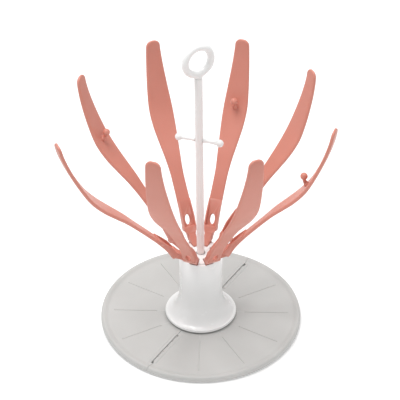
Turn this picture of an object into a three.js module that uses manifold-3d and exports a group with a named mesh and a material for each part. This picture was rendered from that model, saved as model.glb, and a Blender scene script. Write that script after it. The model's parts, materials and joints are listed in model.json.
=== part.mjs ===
// Bottle drying rack: two hinged half-trays, a flared column, eight folding arms and a central mast
// with a finger ring. Millimetres, +Z up, origin on the ground under the column's axis.
// An azimuth is measured from the front (-Y) toward +X.

import * as THREE from 'three';
import { mergeVertices } from 'three/addons/utils/BufferGeometryUtils.js';
import Module from 'manifold-3d';

const wasm = await Module();
wasm.setup();

// ---- Driving dimensions ----------------------------------------------------------------------

const FIT = 0.35; // clearance between neighbouring pieces
const WELD = 1e-4; // vertices closer than this are one vertex
const ROUND = 16; // sides of a small round piece
const WIDE_ROUND = 28; // sides of a large round piece
const OVERSHOOT = 2; // how far a cutter runs past the face it opens

const SEAM_AZIMUTH = -31.5; // the half-trays meet along this diameter
const TRAY = { radius: 98, bore: 30, underside: 2.3, surface: 4.8, rimTop: 7, sides: 48 };
// Section of the tray's rim: distance in from the outer radius, and height.
const TRAY_RIM = [
  [2.8, TRAY.underside], [2.2, 1.5], [0.6, 1.5], [0, 2.2], [0, 4.6], [0.7, 6.2], [2.4, TRAY.rimTop],
  [4.4, 6.4], [6.8, 5.1], [10, TRAY.surface],
];
const RIB = { inner: 43, outer: 86, width: 1.1, top: 5.4, pitch: 30 };
const HINGE = {
  inner: 43, outer: 85, knuckles: 5, knuckleRadius: 2.1, pinRadius: 1, pinInner: 18, pinOuter: 85.8,
  webWidth: 3.8, webTop: 3.6,
};
const SEAM = { gap: 1, jog: 0.9, jogInner: 42, jogOuter: 88, rimRelief: 6 };
// Section of the ridge beside the seam: distance from the seam's edge, and height.
const SEAM_RIDGE = [[0, 3.8], [3, 3.8], [3, TRAY.surface], [1.8, 5.3], [0.9, 5.6], [0, 5.4]];
const TRAY_FOOT = { radius: 5, at: 80, azimuths: [35, 90, 145] };
const HUB_FOOT = { radius: 16, height: 1.2 };

const HUB = { radius: 29.2, bottom: 0.5, top: 6.6, bossRadius: 15.6, bossTop: 21.2, chamfer: 0.6 };
const SCREW = { shank: 2.2, headRadius: 4.6, headBottom: 1.9, headTop: 4.6, top: 28.9 };
const NUT = { radius: 4.5, height: 3.4 };

const COLUMN = {
  radius: 20.7, top: 78, rimChamfer: 0.8, skirtBottom: 6.3, flareFoot: 8.8, flareSteps: 6, flareTop: 36,
  seatRadius: 18.2, seat: 66.5, bushSeat: 40, lowerBore: 14.2, webTop: 25.2, webBottom: 21.6,
};
// The skirt's rounded edge and the hollow under the skirt: radius and height.
const SKIRT_EDGE = [[31.5, COLUMN.skirtBottom], [34.2, COLUMN.skirtBottom], [34.7, 6.9], [34.7, 7.9]];
const SKIRT_HOLLOW = [[18.4, COLUMN.webBottom], [22.8, 13.5], [27.5, 8.6]];
const FLARE_RADIUS = 34.2; // the flare's widest radius
const CROWN = {
  radius: 17.85, bottom: 66.9, slotFloor: 69, plate: 77.25, top: 78.25, bore: 10.2, chamfer: 0.5,
};
// The slots that the arms' roots pass through widen from the crown's bore to the column's rim.
const SLOT = { inner: 9.9, innerWidth: 5.6, outer: 20.7, outerWidth: 8.2 };
// Notch in the column's rim under each root, seen from the side: radius and height.
const RIM_NOTCH = [[17.5, 73], [21.5, 78.6], [21.5, 80], [17.5, 80]];
const BUSH = { radius: 16.3, height: 3.7 };
const MAST_PLAY = 0.55; // clearance between the mast and its two guides

const PIVOT = { r: 15, z: 73.5, pinRadius: 1.1, pinLength: 9.8, eyeRadius: 2.8, eyeWidth: 5.6 };
const NOSE = { r: 8.1, radius: 1.3, width: 4 };
const FIRST_ARM_AZIMUTH = 24.2;
// Arms in order round the column. A loaded arm leans out by some degrees within its play.
const ARMS = [
  { name: 'front_right', lean: 0 },
  { name: 'right_front', lean: 4 },
  { name: 'right_back', lean: 0 },
  { name: 'back_right', lean: 0 },
  { name: 'back_left', lean: 0 },
  { name: 'left_back', lean: 2 },
  { name: 'left_front', lean: 8 },
  { name: 'front_left', lean: 0 },
];
const ARM_HOLE = { r: 31.8, z: 95.7, width: 5.1, length: 10.4 };
const ARM_PEG = { r: 93.9, z: 186.6, reach: 5, rise: 8.5, stemRadius: 1.6, ballRadius: 3.3 };

const ROD = { radius: 3.65, bottom: 34, top: 269.2 };
const MAST_LEAN = { angle: -0.6, z: 60 }; // the mast leans within its play, about this height
const RING = { z: 286.2, radius: 13, tube: 3.25, azimuth: 31.5, spigotRadius: 1.9, spigotBottom: 262 };
const MAST_PEG = {
  z: 205.3, azimuth: -108.4, ballAt: 19.3, ballRadius: 3.5, seatRadius: 1.7, seatAt: 1.2, footAt: 1.6,
};
// The peg's stem: distance out from the rod's surface, and radius.
const MAST_PEG_STEM = [[0, 2.2], [1.5, 1.7], [4, 1.55], [8, 1.6], [10.5, 1.9]];
const RUNNER = {
  core: 5.4, flange: 9.2, grooveLow: 71.3, grooveHigh: 76.1, flangeHeight: 0.8, bottom: 62, pinZ: 65,
};
const RUNNER_PIN = { radius: 0.8, length: 10.4 };

// The arm's blade from its root to its tip: radius, height, width and thickness.
const ARM_STATIONS = [
  [28.2, 88.3, 12.1, 4],
  [30.1, 92, 12.3, 4],
  [33.7, 100, 12.6, 4],
  [40.7, 112, 13, 4],
  [48.8, 124, 12.8, 4],
  [57.2, 136, 13.2, 4],
  [65.7, 148, 15.8, 4.1],
  [75.5, 160, 19.3, 4.1],
  [85, 172, 22.4, 4.1],
  [93.7, 186, 23.6, 4.1],
  [100.1, 202, 21.4, 4.1],
  [106, 222, 17.7, 4.1],
  [109.5, 239, 14.6, 4],
  [110.3, 246, 12.8, 3.8],
  [110.7, 250, 8.8, 3.2],
  [110.8, 251.5, 4.4, 2.2],
];
const ARM_SECTION = 8; // corners of the arm's cross-section
const ARM_SQUARENESS = 0.55; // under 1 squares the oval section off
// The thick root, seen from the side: radius and height. Its cheeks fade into the blade's inner face.
const ROOT_SIDE = [
  [15, 70.9], [16.6, 71.3], [17.8, 74.6], [20, 78.8], [22.4, 81], [25, 83], [27.4, 84.9], [29.2, 86.6],
  [30.3, 88], [30.9, 89.3], [30.4, 90.4], [40.9, 112.6], [39.6, 114.2], [33.7, 106.9], [28.8, 100.3],
  [24.9, 92.2], [20.2, 86.6], [15, 81.4], [11.5, 78.1], [11.3, 77], [12.3, 73.9], [12.4, 72.6], [13.2, 71.4],
];
// The same root seen square to its face: distance above the step, and half width.
const ROOT_FRONT = [
  [30, 6.4], [-3.6, 6.3], [-4.3, 5.9], [-4.6, 5.2], [-5.2, 4.6], [-6.3, 4.2], [-8, 4], [-25, 4],
];
// Pocket round the hole, between the cheeks; the step is its lower end.
const ROOT_POCKET = [[27.3, 91], [32, 100.9], [38.5, 112.3], [41, 116.5], [34, 118.8], [22, 93.5]];
const ROOT = { stepR: 29.2, stepZ: 90.1, slope: 64.5, slack: 0.4, pocketWidth: 10, reach: 45 };

// ---- Materials -------------------------------------------------------------------------------

function finish(color, roughness, metalness = 0) {
  return () => new THREE.MeshStandardMaterial({ color, roughness, metalness });
}
const whiteGloss = finish(0xf1f1ef, 0.28);
const salmonSatin = finish(0xe09a8b, 0.42);
const greyMatte = finish(0xcfcdc8, 0.6);
const rubber = finish(0x8c8a86, 0.9);
const steel = finish(0xb9bcc0, 0.35, 1);

// ---- Geometry helpers ------------------------------------------------------------------------

const radians = THREE.MathUtils.degToRad;

/** A closed three.js geometry as a solid that can be cut and joined. */
function solid(geometry) {
  const bare = geometry.clone();
  bare.deleteAttribute('normal');
  bare.deleteAttribute('uv');
  const welded = mergeVertices(bare, WELD);
  const corners = welded.index.array;
  const triangles = [];
  for (let i = 0; i < corners.length; i += 3) {
    const [a, b, c] = corners.slice(i, i + 3);
    if (a !== b && b !== c && c !== a) triangles.push(a, b, c);
  }
  return new wasm.Manifold(new wasm.Mesh({
    numProp: 3,
    vertProperties: new Float32Array(welded.attributes.position.array),
    triVerts: new Uint32Array(triangles),
  }));
}

/** A solid back as a three.js geometry. */
function geometryOf(body) {
  const mesh = body.getMesh();
  const geometry = new THREE.BufferGeometry();
  geometry.setAttribute('position', new THREE.BufferAttribute(mesh.vertProperties, 3));
  geometry.setIndex(new THREE.BufferAttribute(mesh.triVerts, 1));
  geometry.computeVertexNormals();
  return geometry;
}

/** Turned shape about Z; the profile runs up its outer side and down its inner side. */
function turned(profile, sides = ROUND, closed = true) {
  const points = profile.map(([r, z]) => new THREE.Vector2(r, z));
  if (closed) points.push(points[0].clone());
  return new THREE.LatheGeometry(points, sides).rotateX(Math.PI / 2);
}

/** Round bar along Z between two heights. */
function bar(radius, bottom, top, sides = ROUND) {
  const geometry = new THREE.CylinderGeometry(radius, radius, top - bottom, sides);
  return geometry.rotateX(Math.PI / 2).translate(0, 0, (bottom + top) / 2);
}

/** Round bar along X between two radii, at a height. */
function barAlongX(radius, from, to, z, sides = ROUND) {
  return bar(radius, from, to, sides).rotateY(Math.PI / 2).translate(0, 0, z);
}

/** Round bar along Y centred on a radius and height. */
function barAlongY(radius, length, r, z, sides = ROUND) {
  return new THREE.CylinderGeometry(radius, radius, length, sides).translate(r, 0, z);
}

/** Box between two corners. */
function block([x0, y0, z0], [x1, y1, z1]) {
  const geometry = new THREE.BoxGeometry(x1 - x0, y1 - y0, z1 - z0);
  return geometry.translate((x0 + x1) / 2, (y0 + y1) / 2, (z0 + z1) / 2);
}

/** Side outline in the X-Z plane given a width along Y. */
function sideExtrusion(shape, width, curveSegments = 10) {
  return slab(shape, width, curveSegments).rotateX(Math.PI / 2);
}

function outline(points) {
  return new THREE.Shape(points.map(([x, y]) => new THREE.Vector2(x, y)));
}

/** Extrusion centred on the ground plane's Z. */
function slab(shape, depth, curveSegments = 10) {
  const geometry = new THREE.ExtrudeGeometry(shape, { depth, bevelEnabled: false, curveSegments });
  return geometry.translate(0, 0, -depth / 2);
}

function cut(body, ...geometries) {
  return geometries.reduce((rest, geometry) => rest.subtract(solid(geometry)), body);
}

function join(body, ...geometries) {
  return geometries.reduce((whole, geometry) => whole.add(solid(geometry)), body);
}

function aroundZ(geometry, azimuth) {
  return geometry.clone().rotateZ(radians(azimuth - 90));
}

function armAzimuth(index) {
  return FIRST_ARM_AZIMUTH + (index * 360) / ARMS.length;
}

const rack = new THREE.Group();

function addPiece(name, geometry, material) {
  const mesh = new THREE.Mesh(geometry, material());
  mesh.name = name;
  rack.add(mesh);
  return mesh;
}

// ---- Tray ------------------------------------------------------------------------------------

/** Places a piece that is built with the seam along +X. */
function onSeam(mesh, turn = 0) {
  mesh.rotation.z = radians(SEAM_AZIMUTH - 90 + turn);
  return mesh;
}

/** The full dished disc, before it is divided. */
function trayDisc() {
  const { radius, bore, underside, surface, sides } = TRAY;
  const rim = TRAY_RIM.map(([inset, z]) => [radius - inset, z]);
  return solid(turned([[bore, underside], ...rim, [bore, surface]], sides));
}

/** Outline of one half: the seam steps sideways near the rim and near the bore. */
function halfOutline() {
  const edge = TRAY.radius + OVERSHOOT;
  const { gap, jog, jogInner, jogOuter } = SEAM;
  const near = FIT / 2;
  return outline([
    [-edge, near - jog], [-jogOuter, near - jog], [-jogOuter, gap], [-jogInner, gap],
    [-jogInner, near + jog], [0, near + jog], [0, near - jog], [jogInner, near - jog],
    [jogInner, gap], [jogOuter, gap], [jogOuter, near + jog], [edge, near + jog],
    [edge, edge], [-edge, edge],
  ]);
}

/** Knuckle lengths along the seam: even ones belong to the half on one side, odd to the other. */
function knuckleSpans(parity) {
  const pitch = (HINGE.outer - HINGE.inner) / HINGE.knuckles;
  const spans = [];
  for (let i = 0; i < HINGE.knuckles; i += 1) {
    if (i % 2 === parity) {
      spans.push([HINGE.inner + i * pitch + FIT / 2, HINGE.inner + (i + 1) * pitch - FIT / 2]);
    }
  }
  return spans;
}

/** Soft ridge that covers the hinge's knuckles beside the seam. */
function seamRidge(from, to) {
  const shape = outline(SEAM_RIDGE.map(([at, z]) => [SEAM.gap + at, z]));
  const ridge = slab(shape, to - from).rotateX(Math.PI / 2).rotateZ(Math.PI / 2);
  return ridge.translate((from + to) / 2, 0, 0);
}

function trayHalf() {
  const { inner, outer, knuckleRadius, webWidth, webTop } = HINGE;
  const { jogInner, jogOuter, rimRelief } = SEAM;
  const blank = new THREE.ExtrudeGeometry(halfOutline(), { depth: 2 * TRAY.rimTop, bevelEnabled: false });
  let half = trayDisc().intersect(solid(blank));
  half = join(half, seamRidge(jogInner, jogOuter), seamRidge(-jogOuter, -jogInner));
  half = cut(half, barAlongX(knuckleRadius + FIT, inner, outer, TRAY.underside));
  half = cut(half, barAlongX(knuckleRadius + FIT, -outer, -inner, TRAY.underside));
  const spans = [...knuckleSpans(0), ...knuckleSpans(1).map(([from, to]) => [-to, -from])];
  for (const [from, to] of spans) {
    half = join(
      half,
      barAlongX(knuckleRadius, from, to, TRAY.underside),
      block([from, 0, TRAY.underside], [to, webWidth, webTop]),
    );
  }
  for (let azimuth = RIB.pitch; azimuth < 180; azimuth += RIB.pitch) {
    const rib = block([RIB.inner, -RIB.width / 2, TRAY.underside + 1], [RIB.outer, RIB.width / 2, RIB.top]);
    half = join(half, rib.rotateZ(radians(azimuth)));
  }
  const reach = TRAY.radius + OVERSHOOT;
  return cut(
    half,
    barAlongX(HINGE.pinRadius + FIT, -outer - 1, outer + 1, TRAY.underside),
    block([-reach, -OVERSHOOT, 0], [-outer - FIT, rimRelief, TRAY.underside]),
    block([outer + FIT, -OVERSHOOT, 0], [reach, rimRelief, TRAY.underside]),
  );
}

function addTray() {
  const half = geometryOf(trayHalf());
  onSeam(addPiece('tray_half_right', half, greyMatte));
  onSeam(addPiece('tray_half_left', half.clone(), greyMatte), 180);
  const foot = bar(TRAY_FOOT.radius, 0, TRAY.underside - FIT);
  for (const [side, turn] of [['right', 0], ['left', 180]]) {
    TRAY_FOOT.azimuths.forEach((azimuth, index) => {
      const placed = foot.clone().translate(TRAY_FOOT.at, 0, 0).rotateZ(radians(azimuth));
      onSeam(addPiece(`tray_foot_${side}_${index + 1}`, placed, rubber), turn);
    });
  }
}

// ---- Base hub --------------------------------------------------------------------------------

const screwHole = SCREW.shank + FIT;

function addBaseHub() {
  const headHole = SCREW.headRadius + FIT;
  const { radius, bottom, top, bossRadius, bossTop, chamfer } = HUB;
  const recessRadius = HUB_FOOT.radius + FIT;
  const recessTop = HUB_FOOT.height + FIT;
  const profile = [
    [recessRadius, bottom], [radius, bottom], [radius, top - chamfer], [radius - chamfer, top],
    [bossRadius, top], [bossRadius, bossTop - chamfer], [bossRadius - chamfer, bossTop],
    [screwHole, bossTop], [screwHole, SCREW.headTop + FIT], [headHole, SCREW.headTop + FIT],
    [headHole, recessTop], [recessRadius, recessTop],
  ];
  let hub = solid(turned(profile, WIDE_ROUND));
  for (const [from, to] of [[HINGE.pinInner - FIT, radius + 1], [-radius - 1, FIT - HINGE.pinInner]]) {
    hub = cut(hub, barAlongX(HINGE.pinRadius + FIT, from, to, TRAY.underside));
  }
  onSeam(addPiece('base_hub', geometryOf(hub), whiteGloss));
  addPiece('hub_foot', bar(HUB_FOOT.radius, 0, HUB_FOOT.height, WIDE_ROUND), rubber);
  const pin = barAlongX(HINGE.pinRadius, HINGE.pinInner, HINGE.pinOuter, TRAY.underside);
  onSeam(addPiece('hinge_pin_front', pin, steel));
  onSeam(addPiece('hinge_pin_back', pin.clone(), steel), 180);
  const screw = [
    [0, SCREW.headBottom], [SCREW.headRadius, SCREW.headBottom], [SCREW.headRadius, SCREW.headTop],
    [SCREW.shank, SCREW.headTop], [SCREW.shank, SCREW.top], [0, SCREW.top],
  ];
  addPiece('hub_screw', turned(screw, ROUND, false), steel);
  const nutBottom = COLUMN.webTop + FIT;
  const nut = solid(bar(NUT.radius, nutBottom, nutBottom + NUT.height, 6));
  addPiece('hub_nut', geometryOf(cut(nut, bar(screwHole, COLUMN.webBottom, SCREW.top))), steel);
}

// ---- Column ----------------------------------------------------------------------------------

/** Concave flare, as a quarter ellipse from the skirt up to the tube. */
function flarePoints() {
  const { radius, flareFoot, flareTop, flareSteps } = COLUMN;
  const points = [];
  for (let i = 0; i <= flareSteps; i += 1) {
    const angle = (Math.PI / 2) * (1 - i / flareSteps);
    points.push([
      FLARE_RADIUS - (FLARE_RADIUS - radius) * Math.cos(angle),
      flareTop - (flareTop - flareFoot) * Math.sin(angle),
    ]);
  }
  return points;
}

function columnProfile() {
  const { radius, top, rimChamfer, seatRadius, seat, bushSeat, lowerBore, webTop, webBottom } = COLUMN;
  const bushRadius = BUSH.radius + FIT;
  return [
    ...SKIRT_EDGE, ...flarePoints(),
    [radius, top - rimChamfer], [radius - rimChamfer, top], [seatRadius, top],
    [seatRadius, seat], [bushRadius, seat], [bushRadius, bushSeat], [lowerBore, bushSeat],
    [lowerBore, webTop], [screwHole, webTop], [screwHole, webBottom], ...SKIRT_HOLLOW,
  ];
}

/** Half width of a root's slot at a radius. */
function slotHalfWidth(r) {
  const slope = (SLOT.outerWidth - SLOT.innerWidth) / (SLOT.outer - SLOT.inner);
  return (SLOT.innerWidth + (r - SLOT.inner) * slope) / 2;
}

function addColumn() {
  let shell = solid(turned(columnProfile(), WIDE_ROUND));
  const notch = sideExtrusion(outline(RIM_NOTCH), SLOT.outerWidth);
  for (let i = 0; i < ARMS.length; i += 1) {
    shell = cut(shell, aroundZ(notch, armAzimuth(i)));
  }
  addPiece('column_shell', geometryOf(shell), whiteGloss);
  const bushBottom = COLUMN.bushSeat + FIT;
  const bore = ROD.radius + MAST_PLAY;
  const bush = [
    [bore, bushBottom], [BUSH.radius, bushBottom],
    [BUSH.radius, bushBottom + BUSH.height], [bore, bushBottom + BUSH.height],
  ];
  addPiece('guide_bush', turned(bush, ROUND), greyMatte);
}

// ---- Crown that carries the arms -------------------------------------------------------------

function addCrown() {
  const rodHole = ROD.radius + MAST_PLAY;
  const { radius, bottom, slotFloor, plate, top, bore, chamfer } = CROWN;
  const profile = [
    [bore, bottom], [radius, bottom], [radius, top - chamfer], [radius - chamfer, top],
    [rodHole, top], [rodHole, plate], [bore, plate],
  ];
  let crown = solid(turned(profile, WIDE_ROUND));
  const far = radius + 1;
  const slot = slab(outline([
    [SLOT.inner, -slotHalfWidth(SLOT.inner)], [far, -slotHalfWidth(far)],
    [far, slotHalfWidth(far)], [SLOT.inner, slotHalfWidth(SLOT.inner)],
  ]), 2 * (top - slotFloor)).translate(0, 0, top);
  const pinHole = barAlongY(PIVOT.pinRadius + FIT, PIVOT.pinLength + FIT, PIVOT.r, PIVOT.z, 8);
  for (let i = 0; i < ARMS.length; i += 1) {
    crown = cut(crown, ...[slot, pinHole].map((cutter) => aroundZ(cutter, armAzimuth(i))));
  }
  addPiece('crown', geometryOf(crown), whiteGloss);
}

// ---- Arms ------------------------------------------------------------------------------------

function armCurves() {
  return {
    path: new THREE.CatmullRomCurve3(ARM_STATIONS.map(([r, z]) => new THREE.Vector3(r, 0, z))),
    size: new THREE.CatmullRomCurve3(ARM_STATIONS.map(([, , w, t]) => new THREE.Vector3(w, t, 0))),
  };
}

/** Curved blade: a squared-off cylinder whose rings follow the centreline. */
function armBlade() {
  const { path, size } = armCurves();
  const steps = ARM_STATIONS.length - 1;
  const geometry = new THREE.CylinderGeometry(1, 1, 1, ARM_SECTION, steps);
  const position = geometry.attributes.position;
  const squared = (value) => Math.sign(value) * Math.abs(value) ** ARM_SQUARENESS;
  for (let i = 0; i < position.count; i += 1) {
    const t = THREE.MathUtils.clamp(position.getY(i) + 0.5, 0, 1);
    const spread = Math.hypot(position.getX(i), position.getZ(i));
    const angle = Math.atan2(position.getZ(i), position.getX(i)) + Math.PI / ARM_SECTION;
    const centre = path.getPoint(t);
    const tangent = path.getTangent(t);
    const dimensions = size.getPoint(t);
    const across = (spread * squared(Math.cos(angle)) * dimensions.x) / 2;
    const through = (spread * squared(Math.sin(angle)) * dimensions.y) / 2;
    position.setXYZ(i, centre.x + tangent.z * through, across, centre.z - tangent.x * through);
  }
  return geometry;
}

/** Places an extrusion with its X along the arm's root and its depth through the root's face. */
function squareToRoot(geometry, r, z) {
  return geometry.rotateY(-radians(ROOT.slope)).translate(r, 0, z);
}

/** Symmetric outline from (position, half width) pairs. */
function mirrored(pairs) {
  return outline([...pairs, ...pairs.map(([at, half]) => [at, -half]).reverse()]);
}

/** Thick root: cheeks round a pocket, side notches, and a neck that fits the crown's slot. */
function armRoot() {
  const { stepR, stepZ, slack, pocketWidth, reach } = ROOT;
  const neck = (r) => [r, slotHalfWidth(r) - slack];
  const wide = ROOT_FRONT[0][1];
  const plan = mirrored([neck(NOSE.r), neck(SLOT.outer), [SLOT.outer, wide], [reach, wide]]);
  return solid(sideExtrusion(outline(ROOT_SIDE), 2 * wide))
    .intersect(solid(squareToRoot(slab(mirrored(ROOT_FRONT), reach), stepR, stepZ)))
    .intersect(solid(slab(plan, 2 * reach).translate(0, 0, PIVOT.z)))
    .subtract(solid(sideExtrusion(outline(ROOT_POCKET), pocketWidth)));
}

/** Lever inside the crown: it tapers from the eye to a round nose. */
function armNose() {
  const reach = PIVOT.r - NOSE.r;
  const lean = Math.asin((PIVOT.eyeRadius - NOSE.radius) / reach);
  const shape = new THREE.Shape();
  shape.absarc(PIVOT.r, PIVOT.z, PIVOT.eyeRadius, -Math.PI / 2 - lean, Math.PI / 2 + lean, false);
  shape.absarc(NOSE.r, PIVOT.z, NOSE.radius, Math.PI / 2 + lean, (3 * Math.PI) / 2 - lean, false);
  shape.closePath();
  return sideExtrusion(shape, NOSE.width, 5);
}

/** Oval hole through the arm, just above the root's step. */
function armHole() {
  const shape = new THREE.Shape();
  shape.absellipse(0, 0, ARM_HOLE.length / 2, ARM_HOLE.width / 2, 0, 2 * Math.PI, false, 0);
  return squareToRoot(slab(shape, 2 * ARM_HOLE.length), ARM_HOLE.r, ARM_HOLE.z);
}

/** Hooked peg on the inner face, ending in a ball. */
function armPeg() {
  const foot = new THREE.Vector3(ARM_PEG.r, 0, ARM_PEG.z);
  const ball = foot.clone().add(new THREE.Vector3(-ARM_PEG.reach, 0, ARM_PEG.rise));
  const elbow = foot.clone().add(new THREE.Vector3(-ARM_PEG.reach, 0, ARM_PEG.rise * 0.35));
  const route = new THREE.QuadraticBezierCurve3(foot, elbow, ball);
  const section = new THREE.Shape();
  section.absarc(0, 0, ARM_PEG.stemRadius, 0, 2 * Math.PI, false);
  const stem = new THREE.ExtrudeGeometry(section, { steps: 4, extrudePath: route, curveSegments: 4 });
  const knob = new THREE.SphereGeometry(ARM_PEG.ballRadius, 10, 6);
  return [stem, knob.translate(ball.x, ball.y, ball.z)];
}

function armGeometry(hasPeg) {
  const { r, z, eyeRadius, eyeWidth, pinRadius } = PIVOT;
  let arm = join(armRoot(), armBlade(), barAlongY(eyeRadius, eyeWidth, r, z, 12), armNose());
  if (hasPeg) arm = join(arm, ...armPeg());
  arm = cut(arm, armHole(), barAlongY(pinRadius + FIT, 2 * eyeWidth, r, z, 10));
  return geometryOf(arm);
}

function leaned(geometry, degrees) {
  const { r, z } = PIVOT;
  return geometry.clone().translate(-r, 0, -z).rotateY(radians(degrees)).translate(r, 0, z);
}

function addArms() {
  const shapes = [armGeometry(false), armGeometry(true)];
  const pin = barAlongY(PIVOT.pinRadius, PIVOT.pinLength, PIVOT.r, PIVOT.z, 12);
  ARMS.forEach(({ name, lean }, index) => {
    const turn = radians(armAzimuth(index) - 90);
    addPiece(`arm_${name}`, leaned(shapes[index % 2], lean), salmonSatin).rotation.z = turn;
    addPiece(`arm_pin_${name}`, pin.clone(), steel).rotation.z = turn;
  });
}

// ---- Mast ------------------------------------------------------------------------------------

/** Adds a piece that leans with the mast. */
function addMastPiece(name, geometry, material) {
  const { angle, z } = MAST_LEAN;
  addPiece(name, geometry.translate(0, 0, -z).rotateY(radians(angle)).translate(0, 0, z), material);
}

/** Peg turned along Z from the mast's axis outward, with a spigot at its foot. */
function mastPegProfile() {
  const { ballAt, ballRadius, seatRadius, footAt } = MAST_PEG;
  const spigot = seatRadius - FIT;
  const shoulder = ROD.radius + FIT;
  const steps = 6;
  const stemEnd = MAST_PEG_STEM.at(-1)[1];
  const neck = Math.PI - Math.asin(stemEnd / ballRadius);
  const stem = MAST_PEG_STEM.map(([out, radius]) => [radius, shoulder + out]);
  const ball = [];
  for (let i = 1; i <= steps; i += 1) {
    const angle = neck * (1 - i / steps);
    ball.push([ballRadius * Math.sin(angle), ballAt + ballRadius * Math.cos(angle)]);
  }
  return [[0, footAt], [spigot, footAt], [spigot, shoulder], ...stem, ...ball];
}

function pegTurn(azimuth) {
  const level = new THREE.Matrix4().makeRotationY(Math.PI / 2);
  const swing = new THREE.Matrix4().makeRotationZ(radians(azimuth - 90));
  return swing.multiply(level).setPosition(0, 0, MAST_PEG.z);
}

function addMast() {
  let rod = solid(bar(ROD.radius, ROD.bottom, ROD.top));
  rod = cut(
    rod,
    bar(RING.spigotRadius + FIT, RING.spigotBottom - FIT, ROD.top + 1, 16),
    barAlongY(RUNNER_PIN.radius + FIT, 4 * ROD.radius, 0, RUNNER.pinZ, 12),
  );
  const pegs = [['left', MAST_PEG.azimuth], ['right', MAST_PEG.azimuth + 180]];
  for (const [side, azimuth] of pegs) {
    const seat = bar(MAST_PEG.seatRadius, MAST_PEG.seatAt, 2 * ROD.radius, 12);
    rod = cut(rod, seat.applyMatrix4(pegTurn(azimuth)));
    const peg = turned(mastPegProfile(), 16, false).applyMatrix4(pegTurn(azimuth));
    addMastPiece(`mast_peg_${side}`, peg, whiteGloss);
  }
  addMastPiece('mast_rod', geometryOf(rod), whiteGloss);
  addHandle();
  addRunner();
}

function addHandle() {
  const hoop = new THREE.TorusGeometry(RING.radius, RING.tube, 10, 32);
  const neckBottom = ROD.top + FIT;
  const ring = join(
    solid(hoop.rotateX(Math.PI / 2).translate(0, 0, RING.z)),
    bar(ROD.radius, neckBottom, RING.z - RING.radius),
    bar(RING.spigotRadius, RING.spigotBottom, neckBottom + 1, 16),
  );
  addMastPiece('handle_ring', geometryOf(ring).rotateZ(radians(RING.azimuth)), whiteGloss);
}

function addRunner() {
  const bore = ROD.radius + FIT;
  const { core, flange, grooveLow, grooveHigh, flangeHeight, bottom, pinZ } = RUNNER;
  const profile = [
    [bore, bottom], [core, bottom], [core, grooveLow - flangeHeight], [flange, grooveLow - flangeHeight],
    [flange, grooveLow], [core, grooveLow], [core, grooveHigh], [flange, grooveHigh],
    [flange, grooveHigh + flangeHeight], [bore, grooveHigh + flangeHeight],
  ];
  const pinHole = barAlongY(RUNNER_PIN.radius + FIT, 3 * core, 0, pinZ, 12);
  addMastPiece('runner', geometryOf(cut(solid(turned(profile)), pinHole)), greyMatte);
  addMastPiece('runner_pin', barAlongY(RUNNER_PIN.radius, RUNNER_PIN.length, 0, pinZ, 12), steel);
}

addTray();
addBaseHub();
addColumn();
addCrown();
addArms();
addMast();

export default rack;
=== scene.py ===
"""Looks of a bottle drying rack: hinged tray, flared column, folding arms and mast."""

import json
import math

import bmesh
import bpy
from mathutils import Matrix, Vector


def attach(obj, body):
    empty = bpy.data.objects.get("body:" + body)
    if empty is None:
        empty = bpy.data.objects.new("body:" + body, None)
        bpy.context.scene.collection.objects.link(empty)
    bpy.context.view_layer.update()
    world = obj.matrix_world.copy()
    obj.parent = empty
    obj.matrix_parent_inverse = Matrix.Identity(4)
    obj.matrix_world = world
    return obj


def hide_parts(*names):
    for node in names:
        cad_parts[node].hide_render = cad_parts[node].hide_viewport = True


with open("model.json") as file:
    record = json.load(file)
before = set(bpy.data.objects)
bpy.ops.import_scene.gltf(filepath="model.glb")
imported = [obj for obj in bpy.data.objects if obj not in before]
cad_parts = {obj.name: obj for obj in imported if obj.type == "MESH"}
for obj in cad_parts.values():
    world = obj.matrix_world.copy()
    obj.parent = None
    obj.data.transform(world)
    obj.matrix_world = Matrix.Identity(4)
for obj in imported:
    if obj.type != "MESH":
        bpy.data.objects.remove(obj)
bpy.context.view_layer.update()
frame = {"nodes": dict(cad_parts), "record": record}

MM = 0.001

# ---- Sizes in millimetres ---------------------------------------------------------------------

FIT = 0.35                   # clearance between neighbouring pieces
SEAM_AZIMUTH = -31.5         # the half-trays meet along this diameter
FIRST_ARM_AZIMUTH = 24.2
# Arms in order round the column, with the degrees by which each one leans out.
ARM_LEANS = {"front_right": 0, "right_front": 4, "right_back": 0, "back_right": 0,
             "back_left": 0, "left_back": 2, "left_front": 8, "front_left": 0}

TRAY_RADIUS, TRAY_BORE = 97.9, 30.0
TRAY_UNDERSIDE, TRAY_SURFACE, TRAY_RIM = 2.3, 4.8, 7.0
KNUCKLE_FROM, KNUCKLE_TO, KNUCKLES, KNUCKLE_RADIUS = 43.0, 85.0, 5, 2.1
SEAM_GAP = 1.0               # from the seam's line to each half's edge, along the hinge
RIDGE_WIDTH, RIDGE_TOP = 3.0, 5.6
RIB_STEP = 30                # degrees between the tray's ribs
FOOT_RADIUS, FOOT_AT, FOOT_AZIMUTHS = 5.0, 80.0, (35, 90, 145)
HUB_FOOT_RADIUS, HUB_FOOT_HEIGHT = 16.0, 1.2

COLUMN_RADIUS, COLUMN_TOP = 20.7, 78.0
SKIRT_RADIUS, SKIRT_BOTTOM = 34.7, 6.3
FLARE_RADIUS, FLARE_FOOT, FLARE_TOP = 34.2, 8.8, 36.0
CROWN_SEAT_RADIUS, CROWN_SEAT = 18.2, 66.5
BUSH_SEAT_RADIUS, BUSH_SEAT, LOWER_BORE = 16.65, 40.0, 14.2
WEB_TOP, WEB_BOTTOM, SCREW_HOLE = 25.2, 21.6, 2.55
# Floor of the rim's notch under an arm that leans fully: radius and height.
NOTCH_FLOOR = ((17.5, 73.0), (21.5, 78.6))
FULL_LEAN, NOTCH_LIFT = 8, 0.12   # the notch rises by this much for each degree less
CROWN_RADIUS, CROWN_BOTTOM, CROWN_TOP, CROWN_BORE = 17.8, 66.9, 78.2, 10.2
CROWN_PLATE, SLOT_FLOOR = 77.25, 69.0

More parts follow.
